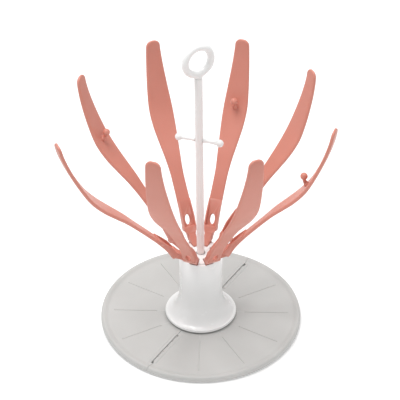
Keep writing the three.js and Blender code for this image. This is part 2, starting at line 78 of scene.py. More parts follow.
PIVOT_R, PIVOT_Z, PIN_HOLE_RADIUS = 15.0, 73.5, 1.45
EYE_RADIUS, EYE_WIDTH = 2.8, 5.6
NOSE_R, NOSE_RADIUS, NOSE_WIDTH = 8.1, 1.3, 4.0
ROD_RADIUS, ROD_BOTTOM, ROD_TOP, MAST_PLAY = 3.65, 34.0, 269.2, 0.55
RUNNER_PIN_Z, RUNNER_PIN_HOLE = 65.0, 1.15
SPIGOT_RADIUS, SPIGOT_BOTTOM = 1.9, 262.0
MAST_LEAN, MAST_LEAN_Z = -0.6, 60.0   # the mast leans by this angle about this height
RING_Z, RING_RADIUS, RING_TUBE, RING_AZIMUTH = 286.2, 13.0, 3.25, 31.5
MAST_PEG_Z, MAST_PEG_AZIMUTH = 205.3, -108.4
MAST_PEG_BALL_AT, MAST_PEG_BALL_RADIUS = 19.3, 3.5
PEG_SEAT_FROM, PEG_SEAT_RADIUS, PEG_FOOT_FROM = 1.2, 1.7, 1.6

# The arm's blade from its root to its tip: radius, height, width, thickness.
ARM_STATIONS = (
    (28.2, 88.3, 12.1, 4.0), (30.1, 92.0, 12.3, 4.0), (33.7, 100.0, 12.6, 4.0), (40.7, 112.0, 13.0, 4.0),
    (48.8, 124.0, 12.8, 4.0), (57.2, 136.0, 13.2, 4.0), (65.7, 148.0, 15.8, 4.1), (75.5, 160.0, 19.3, 4.1),
    (85.0, 172.0, 22.4, 4.1), (93.7, 186.0, 23.6, 4.1), (100.1, 202.0, 21.4, 4.1), (106.0, 222.0, 17.7, 4.1),
    (109.3, 238.6, 14.8, 4.0), (110.25, 251.2, 13.2, 3.7),
)
# The thick root, seen from the side: radius and height. Its cheeks fade into the blade's inner face.
ROOT_SIDE = (
    (15.0, 70.9), (16.6, 71.3), (17.8, 74.6), (20.0, 78.8), (22.4, 81.0), (25.0, 83.0), (27.4, 84.9),
    (29.2, 86.6), (30.3, 88.0), (30.9, 89.3), (30.4, 90.4), (40.9, 112.6), (39.6, 114.2), (33.7, 106.9),
    (28.8, 100.3), (24.9, 92.2), (20.2, 86.6), (15.0, 81.4), (11.5, 78.1), (11.3, 77.0), (12.3, 73.9),
    (12.4, 72.6), (13.2, 71.4),
)
# The same root seen square to its face: distance above the step, and half width.
ROOT_FRONT = (
    (30.0, 6.4), (-3.6, 6.3), (-4.3, 5.9), (-4.6, 5.2), (-5.2, 4.6), (-6.3, 4.2), (-8.0, 4.0), (-25.0, 4.0),
)
# Pocket round the hole, between the cheeks; the step is its lower end.
ROOT_POCKET = ((27.3, 91.0), (32.0, 100.9), (38.5, 112.3), (41.0, 116.5), (34.0, 118.8), (22.0, 93.5))
POCKET_WIDTH = 10.0
STEP_R, STEP_Z, ROOT_SLOPE = 29.2, 90.1, 64.5
HOLE_R, HOLE_Z, HOLE_LENGTH, HOLE_WIDTH = 31.8, 95.7, 10.4, 5.1
BLADE_TIP_LENGTH, BLADE_CROWN, BLADE_EDGE = 5.6, 0.25, 1.7
BLADE_SLIMMER = 0.5          # keeps the crowned blade inside the solid that it stands for
ARM_PEG_R, ARM_PEG_Z, ARM_PEG_BALL_RADIUS, ARM_PEG_STEM_RADIUS = 93.9, 186.6, 3.3, 1.5
SLOT_INNER, SLOT_INNER_WIDTH, SLOT_OUTER, SLOT_OUTER_WIDTH = 9.9, 5.6, 20.7, 8.2


# ---- Mesh helpers -----------------------------------------------------------------------------

def make_piece(name, verts, faces):
    """New object from millimetre vertices, shaded smooth except across sharp corners."""
    mesh = bpy.data.meshes.new(name)
    mesh.from_pydata([Vector(v) * MM for v in verts], [], faces)
    tidy_mesh(mesh)
    piece = bpy.data.objects.new(name, mesh)
    bpy.context.scene.collection.objects.link(piece)
    shade(piece)
    return piece


def tidy_mesh(mesh):
    bm = bmesh.new()
    bm.from_mesh(mesh)
    bmesh.ops.remove_doubles(bm, verts=bm.verts, dist=1e-6)
    bmesh.ops.recalc_face_normals(bm, faces=bm.faces)
    bm.to_mesh(mesh)
    bm.free()


def shade(piece, angle=40):
    piece.data.shade_smooth()
    piece.data.set_sharp_from_angle(angle=math.radians(angle))


def apply_modifiers(piece):
    graph = bpy.context.evaluated_depsgraph_get()
    mesh = bpy.data.meshes.new_from_object(piece.evaluated_get(graph))
    piece.modifiers.clear()
    piece.data = mesh


def boolean(piece, operation, *tools):
    """Joins or cuts with exact booleans, and removes the tools."""
    for tool in tools:
        modifier = piece.modifiers.new(operation, "BOOLEAN")
        modifier.operation = operation
        modifier.solver = "EXACT"
        modifier.object = tool
        apply_modifiers(piece)
        bpy.data.objects.remove(tool)
    return piece


def bevel(piece, width, segments=3, angle=35):
    modifier = piece.modifiers.new("bevel", "BEVEL")
    modifier.width = width * MM
    modifier.segments = segments
    modifier.limit_method = "ANGLE"
    modifier.angle_limit = math.radians(angle)
    apply_modifiers(piece)
    shade(piece, 30)
    return piece


def turn(piece, degrees):
    """Turns a piece's mesh about the column's axis."""
    piece.data.transform(Matrix.Rotation(math.radians(degrees), 4, "Z"))
    return piece


def from_azimuth(azimuth):
    """Turn that brings +X to an azimuth measured from the front toward +X."""
    return azimuth - 90


def loft(rings, closed_ends=True):
    """Skin over equal-sized rings of points, capped at both ends."""
    count = len(rings[0])
    verts = [p for ring in rings for p in ring]
    faces = []
    for i in range(len(rings) - 1):
        for j in range(count):
            k = (j + 1) % count
            faces.append((i * count + j, i * count + k, (i + 1) * count + k, (i + 1) * count + j))
    if closed_ends:
        faces.append(tuple(range(count))[::-1])
        last = (len(rings) - 1) * count
        faces.append(tuple(range(last, last + count)))
    return verts, faces


def lathe(name, profile, sides=128):
    """Turned piece from a closed (radius, height) outline that stays off the axis, or ends on it."""
    verts, faces = [], []
    count = len(profile)
    for s in range(sides):
        angle = 2 * math.pi * s / sides
        verts += [(r * math.cos(angle), r * math.sin(angle), z) for r, z in profile]
    for s in range(sides):
        here, there = s * count, ((s + 1) % sides) * count
        for i in range(count):
            j = (i + 1) % count
            if profile[i][0] < 1e-6 and profile[j][0] < 1e-6:
                continue
            faces.append((here + i, there + i, there + j, here + j))
    return make_piece(name, verts, faces)


def rounded(profile, radius, steps=4):
    """Rounds every corner of a closed (radius, height) outline; points on the axis stay."""
    points = []
    count = len(profile)
    for i in range(count):
        corner = Vector(profile[i])
        before, after = Vector(profile[i - 1]), Vector(profile[(i + 1) % count])
        if corner.x < 1e-6:
            points.append(tuple(corner))
            continue
        reach = min(radius, (before - corner).length * 0.45, (after - corner).length * 0.45)
        start = corner + (before - corner).normalized() * reach
        end = corner + (after - corner).normalized() * reach
        for k in range(steps + 1):
            t = k / steps
            points.append(tuple(start * (1 - t) ** 2 + corner * 2 * t * (1 - t) + end * t ** 2))
    return points


def prism(name, outline, low, high):
    """Upright prism from an (x, y) outline."""
    return make_piece(name, *loft([[(x, y, z) for x, y in outline] for z in (low, high)]))


def side_prism(name, outline, width):
    """Prism across Y from an (x, z) outline."""
    return make_piece(name, *loft([[(x, y, z) for x, z in outline] for y in (-width / 2, width / 2)]))


def circle(radius, sides, centre=(0, 0)):
    return [(centre[0] + radius * math.cos(2 * math.pi * i / sides),
             centre[1] + radius * math.sin(2 * math.pi * i / sides)) for i in range(sides)]


def tube(name, points, radii, sides=24):
    """Round sweep along points, with one radius per point."""
    points = [Vector(p) for p in points]
    rings = []
    for i, point in enumerate(points):
        ahead = points[min(i + 1, len(points) - 1)]
        behind = points[max(i - 1, 0)]
        forward = (ahead - behind).normalized()
        side = forward.cross(Vector((0, 1, 0)))
        if side.length < 1e-3:
            side = forward.cross(Vector((1, 0, 0)))
        side.normalize()
        up = side.cross(forward)
        rings.append([point + (side * c + up * s) * radii[i]
                      for c, s in circle(1, sides)])
    return make_piece(name, *loft(rings))


def remesh(piece, voxel, smoothing=6):
    """Melts joined shapes into one skin with soft fillets."""
    modifier = piece.modifiers.new("remesh", "REMESH")
    modifier.mode = "VOXEL"
    modifier.voxel_size = voxel * MM
    modifier.adaptivity = 0
    relax = piece.modifiers.new("relax", "SMOOTH")
    relax.factor = 0.5
    relax.iterations = smoothing
    apply_modifiers(piece)
    piece.data.shade_smooth()
    return piece


# ---- Materials --------------------------------------------------------------------------------

class Nodes:
    """Small builder for one material's node tree."""

    def __init__(self, name, **shader_values):
        self.material = bpy.data.materials.new(name)
        self.material.use_nodes = True
        self.tree = self.material.node_tree
        self.shader = self.tree.nodes["Principled BSDF"]
        for socket, value in shader_values.items():
            self.shader.inputs[socket.replace("_", " ")].default_value = value

    def add(self, kind, **values):
        node = self.tree.nodes.new(kind)
        for key, value in values.items():
            setattr(node, key, value)
        return node

    def link(self, source, target):
        self.tree.links.new(source, target)

    def position(self):
        return self.add("ShaderNodeTexCoord").outputs["Object"]

    def noise(self, scale, detail=3.0, roughness=0.5):
        node = self.add("ShaderNodeTexNoise")
        node.inputs["Scale"].default_value = scale
        node.inputs["Detail"].default_value = detail
        node.inputs["Roughness"].default_value = roughness
        self.link(self.position(), node.inputs["Vector"])
        return node.outputs["Fac"]

    def ramp(self, source, low, high, start=0.0, end=1.0):
        """Maps a 0-1 signal onto a range of values."""
        node = self.add("ShaderNodeMapRange")
        for socket, value in zip(("From Min", "From Max", "To Min", "To Max"), (start, end, low, high)):
            node.inputs[socket].default_value = value
        self.link(source, node.inputs["Value"])
        return node.outputs["Result"]

    def mix(self, factor, first, second):
        """Colour between two colours or colour outputs."""
        node = self.add("ShaderNodeMix", data_type="RGBA")
        self.link(factor, node.inputs["Factor"])
        for socket, value in ((node.inputs["A"], first), (node.inputs["B"], second)):
            if isinstance(value, tuple):
                self.colour_socket(node, socket.name, value)
            else:
                self.link(value, [i for i in node.inputs if i.name == socket.name and i.type == "RGBA"][0])
        return [o for o in node.outputs if o.type == "RGBA"][0]

    @staticmethod
    def colour_socket(node, name, value):
        [i for i in node.inputs if i.name == name and i.type == "RGBA"][0].default_value = (*value, 1)

    def bump(self, height, distance, strength=1.0, normal=None):
        node = self.add("ShaderNodeBump")
        node.inputs["Distance"].default_value = distance
        node.inputs["Strength"].default_value = strength
        self.link(height, node.inputs["Height"])
        if normal is not None:
            self.link(normal, node.inputs["Normal"])
        return node.outputs["Normal"]

    def edge(self, start, end):
        """1 on outward edges, where the painted edge highlight goes, and 0 elsewhere."""
        return self.ramp(self.add("ShaderNodeNewGeometry").outputs["Pointiness"], 0, 1, start, end)

    def use(self, output, socket):
        self.link(output, self.shader.inputs[socket])


def moulded_plastic(name, colour, shade_colour, edge_highlight_colour, roughness, grain, grain_depth, **shader_values):
    """Injection-moulded plastic: slow colour drift, fine surface grain, and a painted highlight on convex
    edges.
    """
    nodes = Nodes(name, **shader_values)
    drift = nodes.ramp(nodes.noise(28, 4), 0, 1, 0.3, 0.7)
    base = nodes.mix(drift, shade_colour, colour)
    # Convex edges are lightened: a painted edge highlight.
    nodes.use(nodes.mix(nodes.edge(0.52, 0.62), base, edge_highlight_colour), "Base Color")
    smear = nodes.noise(75, 5, 0.65)
    nodes.use(nodes.ramp(smear, roughness - 0.05, roughness + 0.07, 0.3, 0.7), "Roughness")
    waves = nodes.bump(nodes.noise(60, 1), 0.0004, 0.25)
    nodes.use(nodes.bump(nodes.noise(grain, 2), grain_depth, 0.5, waves), "Normal")
    return nodes.material


def material_set():
    # The third colour of each finish is its painted edge highlight on convex edges.
    white = moulded_plastic("white_gloss", (0.93, 0.935, 0.93), (0.91, 0.915, 0.91), (0.95, 0.95, 0.945),
                            0.22, 1800, 0.00002, Coat_Weight=0.35, Coat_Roughness=0.12)
    salmon = moulded_plastic("salmon_satin", (0.66, 0.265, 0.205), (0.63, 0.245, 0.185), (0.71, 0.33, 0.27),
                             0.4, 2200, 0.00003, Subsurface_Weight=0.12, Subsurface_Scale=0.004)
    salmon.node_tree.nodes["Principled BSDF"].inputs["Subsurface Radius"].default_value = (1.0, 0.5, 0.35)
    grey = moulded_plastic("grey_matte", (0.58, 0.58, 0.565), (0.55, 0.55, 0.535), (0.63, 0.63, 0.615),
                           0.52, 2600, 0.00006)
    inner = moulded_plastic("inner_grey", (0.52, 0.52, 0.51), (0.47, 0.47, 0.46), (0.58, 0.58, 0.57),
                            0.5, 2000, 0.00004)
    rubber = moulded_plastic("rubber", (0.24, 0.235, 0.225), (0.2, 0.195, 0.19), (0.3, 0.295, 0.28),
                             0.82, 1500, 0.00012)
    return {"white_gloss": white, "salmon_satin": salmon, "grey_matte": grey, "inner_grey": inner,
            "rubber": rubber, "steel": drawn_steel()}


def drawn_steel():
    """Drawn steel: fine streaks that vary the roughness and the colour."""
    nodes = Nodes("steel", Metallic=1.0)
    streaks = nodes.noise(900, 4, 0.7)
    nodes.use(nodes.mix(streaks, (0.42, 0.43, 0.44), (0.62, 0.63, 0.64)), "Base Color")
    nodes.use(nodes.ramp(streaks, 0.24, 0.42, 0.3, 0.7), "Roughness")
    nodes.use(nodes.bump(streaks, 0.00002, 0.4), "Normal")
    return nodes.material


materials = material_set()


def dress(piece, slot):
    piece.data.materials.clear()
    piece.data.materials.append(materials[slot])


def install(piece, body, slot, *nodes):
    """Gives a piece its finish, its body and the CAD nodes that it stands for."""
    dress(piece, slot)
    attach(piece, body)
    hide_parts(*nodes)


# ---- Tray -------------------------------------------------------------------------------------

def tray_disc():
    """Whole tray with its rim: a bead that stands up round the edge and a lip that hangs below."""
    radius, wall, lip_bottom = TRAY_RADIUS, 2.8, 1.5
    outline = [
        (TRAY_BORE, TRAY_UNDERSIDE), (radius - wall, TRAY_UNDERSIDE), (radius - wall + 0.6, lip_bottom),
        (radius - 0.5, lip_bottom), (radius, 2.1), (radius, TRAY_RIM - 2.6), (radius - 0.6, TRAY_RIM - 0.8),
        (radius - 2.4, TRAY_RIM), (radius - 4.4, TRAY_RIM - 0.6), (radius - 6.8, TRAY_SURFACE + 0.3),
        (radius - 10.5, TRAY_SURFACE), (TRAY_BORE, TRAY_SURFACE),
    ]
    return lathe("tray_disc", rounded(outline, 1.6), 288)


def half_outline():
    """Plan of one half-tray with the seam along X: it steps sideways near the rim and the bore."""
    edge, near, jog, inner, outer = TRAY_RADIUS + 2, FIT / 2, 0.9, 42.0, 88.0
    return [
        (-edge, near - jog), (-outer, near - jog), (-outer, SEAM_GAP), (-inner, SEAM_GAP),
        (-inner, near + jog), (0, near + jog), (0, near - jog), (inner, near - jog),
        (inner, SEAM_GAP), (outer, SEAM_GAP), (outer, near + jog), (edge, near + jog),
        (edge, edge), (-edge, edge),
    ]


def seam_ridge(start, end):
    """Soft ridge that covers the hinge's knuckles beside the seam; its ends fade into the tray."""
    rings = []
    rise, low, steps = RIDGE_TOP - TRAY_SURFACE, TRAY_SURFACE - 1.0, 12
    fades = ((start, 0.25), (start + 0.4, 0.7), (start + 1.2, 1.0),
             (end - 1.2, 1.0), (end - 0.4, 0.7), (end, 0.25))
    for x, scale in fades:
        back = []
        for k in range(steps + 1):
            t = k / steps
            height = rise * scale * min(1.0, 4 * t + 0.45) * (1 - t ** 3)
            back.append((x, SEAM_GAP + RIDGE_WIDTH * t, TRAY_SURFACE - 0.02 + height))
        rings.append([(x, SEAM_GAP, low), *back, (x, SEAM_GAP + RIDGE_WIDTH, low)])
    return make_piece("ridge", *loft(rings))


def bar_along_x(name, radius, start, end, z, sides=32, rounding=0.0):
    rings = [(start, radius - rounding), (start + rounding, radius),
             (end - rounding, radius), (end, radius - rounding)]
    return make_piece(name, *loft([[(x, a, z + b) for a, b in circle(r, sides)] for x, r in rings]))


def knuckle_spans():
    pitch = (KNUCKLE_TO - KNUCKLE_FROM) / KNUCKLES
    for i in range(KNUCKLES):
        start, end = KNUCKLE_FROM + i * pitch + FIT / 2, KNUCKLE_FROM + (i + 1) * pitch - FIT / 2
        yield (start, end) if i % 2 == 0 else (-end, -start)


def rib(azimuth):
    """Low round-backed rib that runs outward over the tray."""
    start, end, half_width, rise = 43.0, 86.0, 0.6, 0.6
    rings = []
    steps = 8
    for side, centre in ((-1, start + half_width), (1, end - half_width)):
        angles = [math.pi / 2 * k / steps for k in range(steps + 1)]
        if side < 0:
            angles = angles[::-1]
        for angle in angles:
            x = centre + side * half_width * math.sin(angle)
            scale = max(math.cos(angle), 0.02)
            rings.append([(x, a * half_width * scale, TRAY_SURFACE - 0.05 + b * rise * scale)
                          for a, b in circle(1, 16)])
    return turn(make_piece("rib", *loft(rings)), azimuth)


def tray_half():
    half = tray_disc()
    boolean(half, "INTERSECT", prism("half_plan", half_outline(), 0, TRAY_RIM + 1))
    bevel(half, 0.3, 2)
    ridge_from, ridge_to = 42.2, 87.8
    boolean(half, "UNION", seam_ridge(ridge_from, ridge_to), seam_ridge(-ridge_to, -ridge_from))
    clear = KNUCKLE_RADIUS + FIT
    boolean(half, "DIFFERENCE",
            bar_along_x("clear_front", clear, KNUCKLE_FROM, KNUCKLE_TO, TRAY_UNDERSIDE),
            bar_along_x("clear_back", clear, -KNUCKLE_TO, -KNUCKLE_FROM, TRAY_UNDERSIDE))
    web_width, web_top = 3.8, 3.6
    web = [(0, TRAY_UNDERSIDE), (web_width, TRAY_UNDERSIDE), (web_width, web_top), (0, web_top)]
    for start, end in knuckle_spans():
        rings = [[(x, y, z) for y, z in web] for x in (start, end)]
        boolean(half, "UNION",
                bar_along_x("knuckle", KNUCKLE_RADIUS, start, end, TRAY_UNDERSIDE, rounding=0.25),
                make_piece("web", *loft(rings)))
    for azimuth in range(RIB_STEP, 180, RIB_STEP):
        boolean(half, "UNION", rib(azimuth))
    near, reach, relief, pin_hole = KNUCKLE_TO + FIT, TRAY_RADIUS + 2, 6.0, 1.35
    boolean(half, "DIFFERENCE",
            bar_along_x("pin_hole", pin_hole, -KNUCKLE_TO - 1, KNUCKLE_TO + 1, TRAY_UNDERSIDE),
            prism("relief_back", [(-reach, -2), (-near, -2), (-near, relief), (-reach, relief)],
                  0, TRAY_UNDERSIDE),
            prism("relief_front", [(near, -2), (reach, -2), (reach, relief), (near, relief)],
                  0, TRAY_UNDERSIDE))
    shade(half, 30)
    return half


def add_tray():
    right = tray_half()
    left = right.copy()
    left.data = right.data.copy()
    bpy.context.scene.collection.objects.link(left)
    for side, piece, spin in (("right", right, 0), ("left", left, 180)):
        piece.name = f"tray_{side}_moulding"
        turn(piece, from_azimuth(SEAM_AZIMUTH) + spin)
        install(piece, f"tray_{side}", "grey_matte", f"tray_half_{side}")
        for index, azimuth in enumerate(FOOT_AZIMUTHS, 1):
            pad = foot_pad(f"pad_{side}_{index}", FOOT_RADIUS, TRAY_UNDERSIDE - FIT)
            pad.data.transform(Matrix.Translation((FOOT_AT * MM, 0, 0)))
            turn(pad, azimuth + from_azimuth(SEAM_AZIMUTH) + spin)
            install(pad, f"tray_{side}", "rubber", f"tray_foot_{side}_{index}")


def foot_pad(name, radius, height):
    """Round pad with a shallow dished sole."""
    dish = 0.35
    outline = [(0, height), (0, dish), (radius * 0.45, dish), (radius * 0.6, 0), (radius, 0),
               (radius, height)]
    return lathe(name, rounded(outline, 0.4, 3), 64)


# ---- Hub, column and crown --------------------------------------------------------------------

def add_hub_pad():
    """Adds the foot under the middle of the hub."""
    install(foot_pad("hub_pad", HUB_FOOT_RADIUS, HUB_FOOT_HEIGHT), "column", "rubber", "hub_foot")


def column_outline():
    """Outline of the shell: the skirt's edge, the flare, the rounded mouth, and back down the inside."""
    hollow_edge = (31.5, SKIRT_BOTTOM)
    flare = []
    steps = 28
    for i in range(steps + 1):
        angle = math.pi / 2 * (1 - i / steps)
        flare.append((FLARE_RADIUS - (FLARE_RADIUS - COLUMN_RADIUS) * math.cos(angle),
                      FLARE_TOP - (FLARE_TOP - FLARE_FOOT) * math.sin(angle)))
    corner_points = 5
    skirt_edge = rounded([hollow_edge, (SKIRT_RADIUS - 0.4, SKIRT_BOTTOM), (SKIRT_RADIUS, 6.8),
                          (SKIRT_RADIUS, 8.0)], 0.4)[corner_points:]
    mouth = [(COLUMN_RADIUS, 76.9), (20.55, 77.5), (20.1, 77.9), (19.5, COLUMN_TOP), (18.7, 77.9),
             (18.3, 77.6), (CROWN_SEAT_RADIUS, 77.2)]
    bore = [(CROWN_SEAT_RADIUS, CROWN_SEAT), (BUSH_SEAT_RADIUS, CROWN_SEAT), (BUSH_SEAT_RADIUS, BUSH_SEAT),
            (LOWER_BORE, BUSH_SEAT), (LOWER_BORE, WEB_TOP), (SCREW_HOLE, WEB_TOP), (SCREW_HOLE, WEB_BOTTOM)]
    hollow = [(18.4, WEB_BOTTOM), (22.8, 13.5), (27.5, 8.6), hollow_edge]
    return skirt_edge + flare + mouth + bore + hollow


def slot_half_width(r):
    """Half width of a root's slot at a radius."""
    slope = (SLOT_OUTER_WIDTH - SLOT_INNER_WIDTH) / (SLOT_OUTER - SLOT_INNER)
    return (SLOT_INNER_WIDTH + (r - SLOT_INNER) * slope) / 2


def rim_notch(lean):
    """Notch under a root; it is shallower where the arm leans less."""
    lift = (FULL_LEAN - lean) * NOTCH_LIFT
    floor = [(r, z + lift) for r, z in NOTCH_FLOOR]
    above = [(r, COLUMN_TOP + 4) for r, z in reversed(NOTCH_FLOOR)]
    return side_prism("notch", floor + above, SLOT_OUTER_WIDTH)


def add_column():
    shell = lathe("column_moulding", column_outline(), 192)
    for index, lean in enumerate(ARM_LEANS.values()):
        boolean(shell, "DIFFERENCE", turn(rim_notch(lean), from_azimuth(FIRST_ARM_AZIMUTH + 45 * index)))
    shade(shell, 30)
    install(shell, "column", "white_gloss", "column_shell")


def add_crown():
    hole = ROD_RADIUS + MAST_PLAY
    outline = [(CROWN_BORE, CROWN_BOTTOM), (CROWN_RADIUS, CROWN_BOTTOM), (CROWN_RADIUS, CROWN_TOP),
               (hole, CROWN_TOP), (hole, CROWN_PLATE), (CROWN_BORE, CROWN_PLATE)]
    crown = lathe("crown_moulding", rounded(outline, 0.5, 3), 128)
    reach = 19.0
    near, far = slot_half_width(SLOT_INNER), slot_half_width(reach)
    slot_plan = [(SLOT_INNER, -near), (reach, -far), (reach, far), (SLOT_INNER, near)]
    for index in range(len(ARM_LEANS)):
        slot = prism("slot", slot_plan, SLOT_FLOOR, COLUMN_TOP + 4)
        boolean(crown, "DIFFERENCE", turn(slot, from_azimuth(FIRST_ARM_AZIMUTH + 45 * index)))
    bevel(crown, 0.25, 2)
    install(crown, "column", "white_gloss", "crown")


# ---- Arms -------------------------------------------------------------------------------------

def spline(points, t):
    """Catmull-Rom value at t between 0 and 1 over equally weighted points."""
    span = t * (len(points) - 1)
    i = min(int(span), len(points) - 2)
    u = span - i
    p0, p1 = points[max(i - 1, 0)], points[i]
    p2, p3 = points[i + 1], points[min(i + 2, len(points) - 1)]
    return [0.5 * (2 * b + (c - a) * u + (2 * a - 5 * b + 4 * c - d) * u * u
                   + (3 * b - a - 3 * c + d) * u ** 3)
            for a, b, c, d in zip(p0, p1, p2, p3)]


def blade_section(half_width, half_depth, crown, corner):
    """Rounded bar section as (across, outward) points: flat inside, slightly convex outside."""
    corner = min(corner, half_depth * 0.95, half_width * 0.95)
    points = []
    arc, flat = 5, 6
    for quadrant, (sx, sy) in enumerate(((1, 1), (-1, 1), (-1, -1), (1, -1))):
        for k in range(arc + 1):
            angle = math.pi / 2 * (quadrant + k / arc)
            points.append((sx * (half_width - corner) + corner * math.cos(angle),
                           sy * (half_depth - corner) + corner * math.sin(angle)))
        if quadrant in (0, 2):
            start, end = (half_width - corner, -(half_width - corner))[::1 if quadrant == 0 else -1]
            for k in range(1, flat):
                points.append((start + (end - start) * k / flat, sy * half_depth))
    return [(a, n + crown * max(0.0, 1 - (a / half_width) ** 2) * (n > 0)) for a, n in points]


def arm_stations(steps=150):
    """Dense (radius, height, width, thickness, tangent) samples along the arm."""
    samples = []
    for i in range(steps + 1):
        t = i / steps
        here = spline(ARM_STATIONS, t)
        ahead, behind = spline(ARM_STATIONS, min(t + 0.002, 1)), spline(ARM_STATIONS, max(t - 0.002, 0))
        tangent = Vector((ahead[0] - behind[0], ahead[1] - behind[1])).normalized()
        samples.append((*here, tangent))
    return samples


def arm_blade():
    samples = arm_stations()
    tip = Vector(samples[-1][:2])
    thinnest = 0.0004            # square of the tip's last width, as a share of the blade's
    rings = []
    for r, z, width, depth, tangent in samples:
        left = (Vector((r, z)) - tip).length
        taper = 1.0
        if left < BLADE_TIP_LENGTH:
            taper = math.sqrt(max(1 - (1 - left / BLADE_TIP_LENGTH) ** 2, thinnest))
        half_depth = depth / 2 * (taper ** 0.35)
        section = blade_section(max(width / 2 * taper, 0.15), max(half_depth - BLADE_SLIMMER, 0.1),
                                BLADE_CROWN * taper, BLADE_EDGE)
        outward = Vector((tangent.y, -tangent.x))
        rings.append([(r + outward.x * n, a, z + outward.y * n) for a, n in section])
    return make_piece("arm", *loft(rings))


def square_to_root(point, r, z):
    """Root coordinates (along, across, outward) as (x, y, z), from a point on the root's face."""
    slope = math.radians(ROOT_SLOPE)
    along, across, outward = point
    return (r + along * math.cos(slope) + outward * math.sin(slope), across,
            z + along * math.sin(slope) - outward * math.cos(slope))


def arm_hole_tool():
    """Oval cutter that flares at both faces, so that the hole's rims come out rounded."""
    face, sides = 2.0, 40
    flares = [(face - 0.9, 0), (face - 0.35, 0.3), (face, 0.7), (6, 1.4)]
    levels = [(-depth, offset) for depth, offset in reversed(flares)] + flares
    rings = []
    for depth, offset in levels:
        half_length, half_width = HOLE_LENGTH / 2 + offset, HOLE_WIDTH / 2 + offset
        rings.append([square_to_root((a * half_length, b * half_width, depth), HOLE_R, HOLE_Z)
                      for a, b in circle(1, sides)])
    return make_piece("hole", *loft(rings))


def mirrored(pairs):
    return list(pairs) + [(at, -half) for at, half in reversed(pairs)]


def arm_root():
    """Thick root: cheeks round a pocket, side notches, and a neck that fits the crown's slot."""
    slack, wide, reach = 0.4, ROOT_FRONT[0][1], 45
    root = side_prism("root", ROOT_SIDE, 2 * wide)
    front = [[square_to_root((a, b, depth), STEP_R, STEP_Z) for a, b in mirrored(ROOT_FRONT)]
             for depth in (-22, 22)]
    plan = mirrored(((NOSE_R, slot_half_width(NOSE_R) - slack),
                     (SLOT_OUTER, slot_half_width(SLOT_OUTER) - slack),
                     (SLOT_OUTER, wide + 0.5), (reach, wide + 0.5)))
    boolean(root, "INTERSECT", make_piece("front", *loft(front)), prism("plan", plan, 60, 120))
    boolean(root, "DIFFERENCE", side_prism("pocket", ROOT_POCKET, POCKET_WIDTH))
    tidy_mesh(root.data)
    return bevel(root, 0.4, 3, 28)


def arm_peg():
    """Hooked peg: a flared foot, a curved stem and a ball."""
    foot = Vector((ARM_PEG_R, 0, ARM_PEG_Z))
    elbow, ball = foot + Vector((-5, 0, 3)), foot + Vector((-5, 0, 8.5))
    points, radii = [], []
    steps = 22
    for i in range(steps + 1):
        t = i / steps
        points.append(foot * (1 - t) ** 2 + elbow * 2 * t * (1 - t) + ball * t ** 2)
        radii.append(ARM_PEG_STEM_RADIUS + 1.3 * math.exp(-max(t - 0.25, 0) * 9))
    return [tube("stem", points, radii), ball_at(ball, ARM_PEG_BALL_RADIUS)]


def ball_at(centre, radius, sides=32):
    rings = []
    for i in range(1, sides // 2):
        angle = math.pi * i / (sides // 2)
        rings.append([(centre.x + x * radius * math.sin(angle), centre.y + y * radius * math.sin(angle),
                       centre.z + radius * math.cos(angle)) for x, y in circle(1, sides)])
    return make_piece("ball", *loft(rings))


def arm_lever():
    """Eye on the pivot and the nose that reaches into the runner."""
    eye = side_prism("eye", circle(EYE_RADIUS, 40, (PIVOT_R, PIVOT_Z)), EYE_WIDTH)
    lean = math.asin((EYE_RADIUS - NOSE_RADIUS) / (PIVOT_R - NOSE_R))
    outline = []
    steps = 16
    for centre, radius, start, sweep in ((PIVOT_R, EYE_RADIUS, -math.pi / 2 - lean, math.pi + 2 * lean),
                                         (NOSE_R, NOSE_RADIUS, math.pi / 2 + lean, math.pi - 2 * lean)):
        for k in range(steps + 1):
            angle = start + sweep * k / steps
            outline.append((centre + radius * math.cos(angle), PIVOT_Z + radius * math.sin(angle)))
    return [eye, side_prism("nose", outline, NOSE_WIDTH)]


def arm_mesh(with_peg):
    arm = arm_blade()
    boolean(arm, "UNION", arm_root(), *arm_lever())
    if with_peg:
        boolean(arm, "UNION", *arm_peg())
    pin_hole = side_prism("pin_hole", circle(PIN_HOLE_RADIUS, 32, (PIVOT_R, PIVOT_Z)), 12)
    boolean(arm, "DIFFERENCE", arm_hole_tool(), pin_hole)
    shade(arm, 40)
    return arm


def add_arms():
    patterns = [arm_mesh(False), arm_mesh(True)]
    pivot = Vector((PIVOT_R, 0, PIVOT_Z)) * MM
    for index, (name, lean) in enumerate(ARM_LEANS.items()):
        arm = bpy.data.objects.new(f"arm_{name}_moulding", patterns[index % 2].data.copy())
        bpy.context.scene.collection.objects.link(arm)
        swing = Matrix.Rotation(math.radians(lean), 4, "Y")
        arm.data.transform(Matrix.Translation(pivot) @ swing @ Matrix.Translation(-pivot))
        turn(arm, from_azimuth(FIRST_ARM_AZIMUTH + 45 * index))
        install(arm, f"arm_{name}", "salmon_satin", f"arm_{name}")
    for pattern in patterns:
        bpy.data.objects.remove(pattern)


# ---- Mast -------------------------------------------------------------------------------------

def lean_with_mast(piece):
    """Leans a piece about the height at which the mast leans."""
    centre = Vector((0, 0, MAST_LEAN_Z)) * MM
    swing = Matrix.Rotation(math.radians(MAST_LEAN), 4, "Y")
    piece.data.transform(Matrix.Translation(centre) @ swing @ Matrix.Translation(-centre))
    return piece


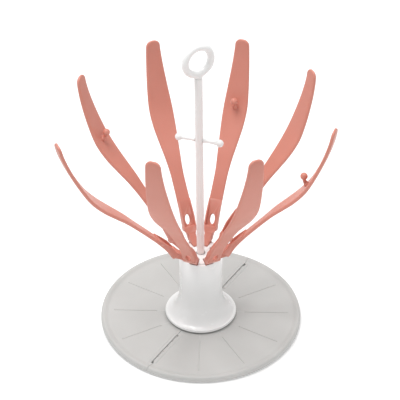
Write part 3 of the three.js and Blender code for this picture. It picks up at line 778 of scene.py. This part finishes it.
def add_rod():
    top, socket, socket_bottom = ROD_TOP - 0.05, SPIGOT_RADIUS + FIT, 261.7
    outline = [(0, ROD_BOTTOM), (ROD_RADIUS, ROD_BOTTOM), (ROD_RADIUS, top), (socket, top),
               (socket, socket_bottom), (0, socket_bottom)]
    rod = lathe("mast_rod_moulding", rounded(outline, 0.3, 3), 64)
    boolean(rod, "DIFFERENCE", side_prism("cross_hole", circle(RUNNER_PIN_HOLE, 24, (0, RUNNER_PIN_Z)), 16))
    for azimuth in (MAST_PEG_AZIMUTH, MAST_PEG_AZIMUTH + 180):
        seat = lathe("seat", [(0, PEG_SEAT_FROM), (PEG_SEAT_RADIUS, PEG_SEAT_FROM), (PEG_SEAT_RADIUS, 8),
                              (0, 8)], 32)
        boolean(rod, "DIFFERENCE", aim_peg(seat, azimuth))
    shade(rod, 35)
    install(lean_with_mast(rod), "mast", "white_gloss", "mast_rod")


def aim_peg(piece, azimuth):
    swing = Matrix.Rotation(math.radians(from_azimuth(azimuth)), 4, "Z")
    level = Matrix.Rotation(math.pi / 2, 4, "Y")
    piece.data.transform(Matrix.Translation((0, 0, MAST_PEG_Z * MM)) @ swing @ level)
    return piece


def add_mast_pegs():
    """Turned pegs: a flared foot, a slim stem that swells into the ball."""
    ball_radius, shoulder, tenon = MAST_PEG_BALL_RADIUS, ROD_RADIUS + FIT, PEG_SEAT_RADIUS - FIT
    outline = [(0, PEG_FOOT_FROM), (tenon, PEG_FOOT_FROM), (tenon, shoulder), (2.15, shoulder),
               (2.2, shoulder + 0.3)]
    length, stem_steps, ball_steps = 10.4, 16, 24
    for k in range(1, stem_steps + 1):
        t = k / stem_steps
        outline.append((1.5 + 0.7 * math.exp(-7 * t) + 0.45 * t ** 3, shoulder + 0.3 + length * t))
    neck = math.pi - math.asin(1.95 / ball_radius)
    for k in range(1, ball_steps + 1):
        angle = neck * (1 - k / ball_steps)
        radius = ball_radius * math.sin(angle) if k < ball_steps else 0
        outline.append((radius, MAST_PEG_BALL_AT + ball_radius * math.cos(angle)))
    for side, azimuth in (("left", MAST_PEG_AZIMUTH), ("right", MAST_PEG_AZIMUTH + 180)):
        peg = aim_peg(lathe(f"mast_peg_{side}_moulding", outline, 40), azimuth)
        install(lean_with_mast(peg), "mast", "white_gloss", f"mast_peg_{side}")


def add_handle():
    turns, sides = 96, 32
    rings = []
    for i in range(turns + 1):
        angle = 2 * math.pi * i / turns
        reach = [(RING_RADIUS + a * RING_TUBE, b * RING_TUBE) for a, b in circle(1, sides)]
        rings.append([(r * math.cos(angle), y, RING_Z + r * math.sin(angle)) for r, y in reach])
    hoop = make_piece("handle_ring_moulding", *loft(rings, closed_ends=False))
    neck_bottom = ROD_TOP + FIT
    shoulder, neck_top = 271.5, 273.5
    neck = lathe("neck", [(0, neck_bottom), (ROD_RADIUS, neck_bottom), (ROD_RADIUS, shoulder),
                          (ROD_RADIUS - 0.9, neck_top), (0, neck_top)], 64)
    boolean(hoop, "UNION", neck)
    remesh(hoop, 0.3, 4)
    spigot = lathe("spigot", [(0, SPIGOT_BOTTOM), (SPIGOT_RADIUS, SPIGOT_BOTTOM),
                              (SPIGOT_RADIUS, neck_bottom + 1), (0, neck_bottom + 1)], 40)
    boolean(hoop, "UNION", spigot)
    shade(hoop, 40)
    turn(hoop, RING_AZIMUTH)
    install(lean_with_mast(hoop), "mast", "white_gloss", "handle_ring")


# ---- Kept CAD pieces --------------------------------------------------------------------------

def dress_kept_nodes():
    """The small machined and hidden pieces keep their CAD shape and take a finish."""
    slots = {entry["node"]: entry["material_slot"] for entry in frame["record"]["subparts"]}
    for name, node in frame["nodes"].items():
        dress(node, slots[name])


# ---- Studio -----------------------------------------------------------------------------------

def area_light(name, location, aim, size, power):
    light = bpy.data.lights.new(name, "AREA")
    light.shape = "DISK"
    light.size = size
    light.energy = power
    lamp = bpy.data.objects.new(name, light)
    lamp.location = location
    lamp.rotation_euler = (Vector(aim) - Vector(location)).to_track_quat("-Z", "Y").to_euler()
    bpy.context.scene.collection.objects.link(lamp)


def add_studio():
    floor_material = Nodes("studio_floor", Roughness=0.7, Emission_Color=(1, 1, 1, 1), Emission_Strength=0.2)
    mottle = floor_material.noise(3, 3)
    floor_material.use(floor_material.mix(mottle, (0.9, 0.9, 0.9), (0.92, 0.92, 0.92)), "Base Color")
    reach, below = 3.0 / MM, -0.05
    corners = [(x * reach, y * reach, below) for x, y in ((-1, -1), (1, -1), (1, 1), (-1, 1))]
    floor = make_piece("studio_floor", corners, [(0, 1, 2, 3)])
    floor.data.materials.append(floor_material.material)
    world = bpy.data.worlds.new("studio")
    world.use_nodes = True
    background = world.node_tree.nodes["Background"]
    background.inputs["Color"].default_value = (1, 1, 1, 1)
    background.inputs["Strength"].default_value = 0.5
    bpy.context.scene.world = world
    area_light("key", (-0.35, 0.0, 1.6), (0, 0, 0.1), 0.9, 17)
    area_light("fill", (1.1, -0.2, 1.1), (0, 0, 0.12), 1.2, 2.5)
    area_light("back", (0.2, 1.2, 1.1), (0, 0, 0.15), 1.0, 3.5)
    bpy.context.scene.view_settings.view_transform = "Standard"


def add_camera():
    elevation, distance = math.radians(35.56), 1.217
    target_x, target_z = -0.0008, 0.1392
    camera = bpy.data.cameras.new("camera")
    camera.sensor_width = 36
    camera.lens = 118.4
    holder = bpy.data.objects.new("camera", camera)
    holder.location = (target_x, -distance * math.cos(elevation), target_z + distance * math.sin(elevation))
    holder.rotation_euler = (math.pi / 2 - elevation, 0, 0)
    bpy.context.scene.collection.objects.link(holder)
    bpy.context.scene.camera = holder


add_camera()
add_studio()
dress_kept_nodes()
add_tray()
add_hub_pad()
add_column()
add_crown()
add_arms()
add_rod()
add_mast_pegs()
add_handle()
